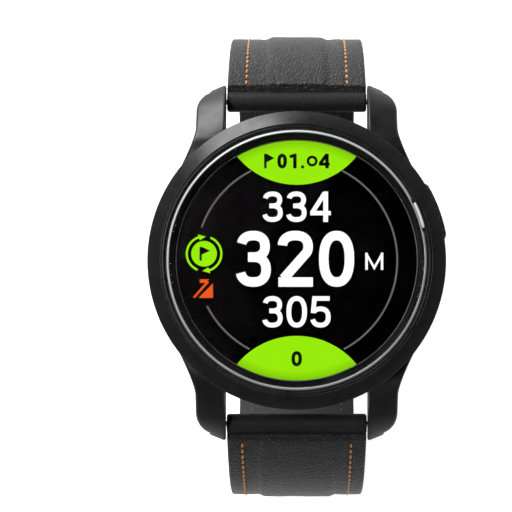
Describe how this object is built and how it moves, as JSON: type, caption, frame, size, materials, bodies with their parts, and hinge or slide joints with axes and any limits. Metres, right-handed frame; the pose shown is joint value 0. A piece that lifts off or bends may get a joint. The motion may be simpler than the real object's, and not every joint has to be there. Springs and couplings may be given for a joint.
{
  "type": "golf gps watch",
  "caption": "Round sports watch with a touch display, side button and four lugs, on a padded leather strap closed by a pin buckle and two keepers.",
  "frame": {"origin": "on the table under the middle of the case; the watch stands on its closed strap", "axes": "+Z out of the dial, +Y towards twelve o'clock, +X towards three o'clock"},
  "size_m": [0.0415, 0.0672, 0.0547],
  "materials": {
    "case_black": "satin black",
    "bezel_black": "fine brushed black",
    "polished_trim": "polished",
    "lens_glass": "clear polished",
    "display": "lit colour display",
    "chapter_black": "gloss black",
    "strap_leather": "fine grain dark grey",
    "strap_lining": "smooth black",
    "stitch_thread": "orange thread",
    "buckle_steel": "satin",
    "bar_steel": "turned",
    "seal_rubber": "matt",
    "board_green": "solder mask",
    "inner_plastic": "moulded",
    "contact_gold": "gold plated",
    "foil": "dull"
  },
  "bodies": {
    "case": {"mid_case": "case_black", "bezel": "bezel_black", "trim_ring": "polished_trim", "trim_marker": "polished_trim", "lens": "lens_glass", "lens_gasket": "seal_rubber", "chapter_ring": "chapter_black", "display_panel": "display", "display_cable": "contact_gold", "inner_chassis": "inner_plastic", "main_board": "board_green", "processor_shield": "foil", "gps_antenna": "inner_plastic", "side_switch": "inner_plastic", "battery": "foil", "battery_pad": "seal_rubber", "motor_can": "bar_steel", "back_cover": "inner_plastic", "back_gasket": "seal_rubber", "back_screw_1": "bar_steel", "back_screw_2": "bar_steel", "back_screw_3": "bar_steel", "back_screw_4": "bar_steel", "charge_contact_1": "contact_gold", "charge_contact_2": "contact_gold", "charge_contact_3": "contact_gold", "charge_contact_4": "contact_gold", "button_seal": "seal_rubber", "spring_bar_upper_tube": "bar_steel", "spring_bar_lower_tube": "bar_steel"},
    "button": {"button_cap": "case_black", "button_stem": "bar_steel", "button_clip": "bar_steel", "switch_plunger": "seal_rubber"},
    "motor_rotor": {"motor_weight": "bar_steel"},
    "bar_tip_upper_right": {"spring_bar_upper_tip_right": "bar_steel"},
    "bar_tip_upper_left": {"spring_bar_upper_tip_left": "bar_steel"},
    "bar_tip_lower_right": {"spring_bar_lower_tip_right": "bar_steel"},
    "bar_tip_lower_left": {"spring_bar_lower_tip_left": "bar_steel"},
    "strap_upper": {"strap_upper_leather": "strap_leather", "strap_upper_lining": "strap_lining"},
    "clasp": {"strap_upper_end_leather": "strap_leather", "strap_upper_end_lining": "strap_lining", "strap_lower_tail_leather": "strap_leather", "strap_lower_tail_lining": "strap_lining", "keeper_fixed": "strap_leather", "buckle_bar": "buckle_steel"},
    "strap_lower": {"strap_lower_leather": "strap_leather", "strap_lower_lining": "strap_lining"},
    "keeper": {"keeper_free": "strap_leather"},
    "buckle": {"buckle_frame": "buckle_steel"},
    "tongue": {"buckle_tongue": "buckle_steel"}
  },
  "joints": [
    {"name": "button_press", "type": "slide", "parent": "case", "child": "button", "axis": [-0.9397, -0.342, 0], "range_m": [0, 0.00045], "stiffness_N_per_m": 4000, "springref_m": -0.0001},
    {"name": "motor_spin", "type": "hinge", "parent": "case", "child": "motor_rotor", "pos_m": [0.003, 0.0104, 0.04542], "axis": [1, 0, 0], "continuous": true},
    {"name": "bar_tip_upper_right_in", "type": "slide", "parent": "case", "child": "bar_tip_upper_right", "axis": [-1, 0, 0], "range_m": [0, 0.001], "stiffness_N_per_m": 1000, "springref_m": -0.001},
    {"name": "bar_tip_upper_left_in", "type": "slide", "parent": "case", "child": "bar_tip_upper_left", "axis": [1, 0, 0], "range_m": [0, 0.001], "stiffness_N_per_m": 1000, "springref_m": -0.001},
    {"name": "bar_tip_lower_right_in", "type": "slide", "parent": "case", "child": "bar_tip_lower_right", "axis": [-1, 0, 0], "range_m": [0, 0.001], "stiffness_N_per_m": 1000, "springref_m": -0.001},
    {"name": "bar_tip_lower_left_in", "type": "slide", "parent": "case", "child": "bar_tip_lower_left", "axis": [1, 0, 0], "range_m": [0, 0.001], "stiffness_N_per_m": 1000, "springref_m": -0.001},
    {"name": "strap_swing", "type": "hinge", "parent": "case", "child": "strap_upper", "pos_m": [0, 0.02278, 0.04507], "axis": [1, 0, 0], "range_deg": [-6, 6], "stiffness_Nm_per_rad": 0.12},
    {"name": "strap_flex_upper", "type": "hinge", "parent": "strap_upper", "child": "clasp", "pos_m": [0, 0.03123, 0.01909], "axis": [1, 0, 0], "range_deg": [-4.5, 4.5], "stiffness_Nm_per_rad": 0.12},
    {"name": "strap_flex_lower", "type": "hinge", "parent": "clasp", "child": "strap_lower", "pos_m": [0, -0.03123, 0.01909], "axis": [1, 0, 0], "range_deg": [-4.5, 4.5], "stiffness_Nm_per_rad": 0.12},
    {"name": "keeper_slide", "type": "hinge", "parent": "clasp", "child": "keeper", "pos_m": [0, 0, 0.05069], "axis": [1, 0, 0], "range_deg": [-1.6, 5.8]},
    {"name": "buckle_swing", "type": "hinge", "parent": "clasp", "child": "buckle", "pos_m": [0, -0.00676, 0.00469], "axis": [1, 0, 0], "range_deg": [0, 4]},
    {"name": "tongue_swing", "type": "hinge", "parent": "buckle", "child": "tongue", "pos_m": [0, -0.00676, 0.00469], "axis": [1, 0, 0], "range_deg": [0, 4]}
  ],
  "couplings": [
    {"joint": "strap_flex_upper", "follows": "strap_swing", "ratio": -0.73},
    {"joint": "strap_flex_lower", "follows": "strap_swing", "ratio": 0.73}
  ]
}
